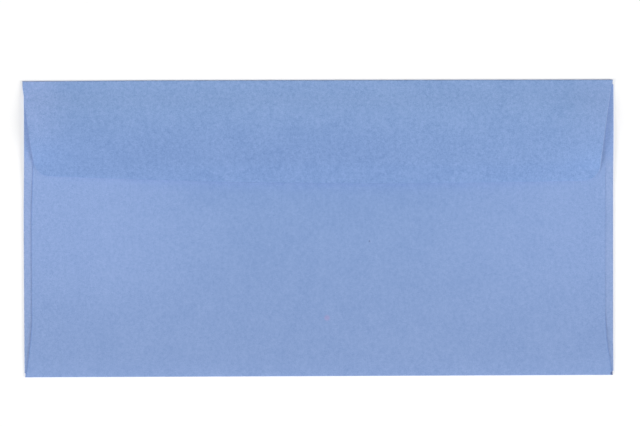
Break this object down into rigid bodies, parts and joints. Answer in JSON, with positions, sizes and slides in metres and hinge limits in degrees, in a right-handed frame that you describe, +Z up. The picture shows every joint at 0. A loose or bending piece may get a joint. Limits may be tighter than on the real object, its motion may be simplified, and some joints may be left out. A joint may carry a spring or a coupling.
{
  "type": "envelope",
  "caption": "Long wallet envelope folded from one sheet of pale blue paper, lying flap up with the deep top flap folded over and slightly sprung",
  "frame": {"origin": "middle of the footprint on the resting face, which is the outside of the front panel", "axes": "+X along the long edge, +Y towards the top flap's fold, +Z up through the layers"},
  "size_m": [0.2203, 0.1104, 0.0035],
  "materials": {
    "blue_paper": "uncoated matt, fine mottle"
  },
  "bodies": {
    "root": {"envelope": "blue_paper"}
  },
  "joints": []
}
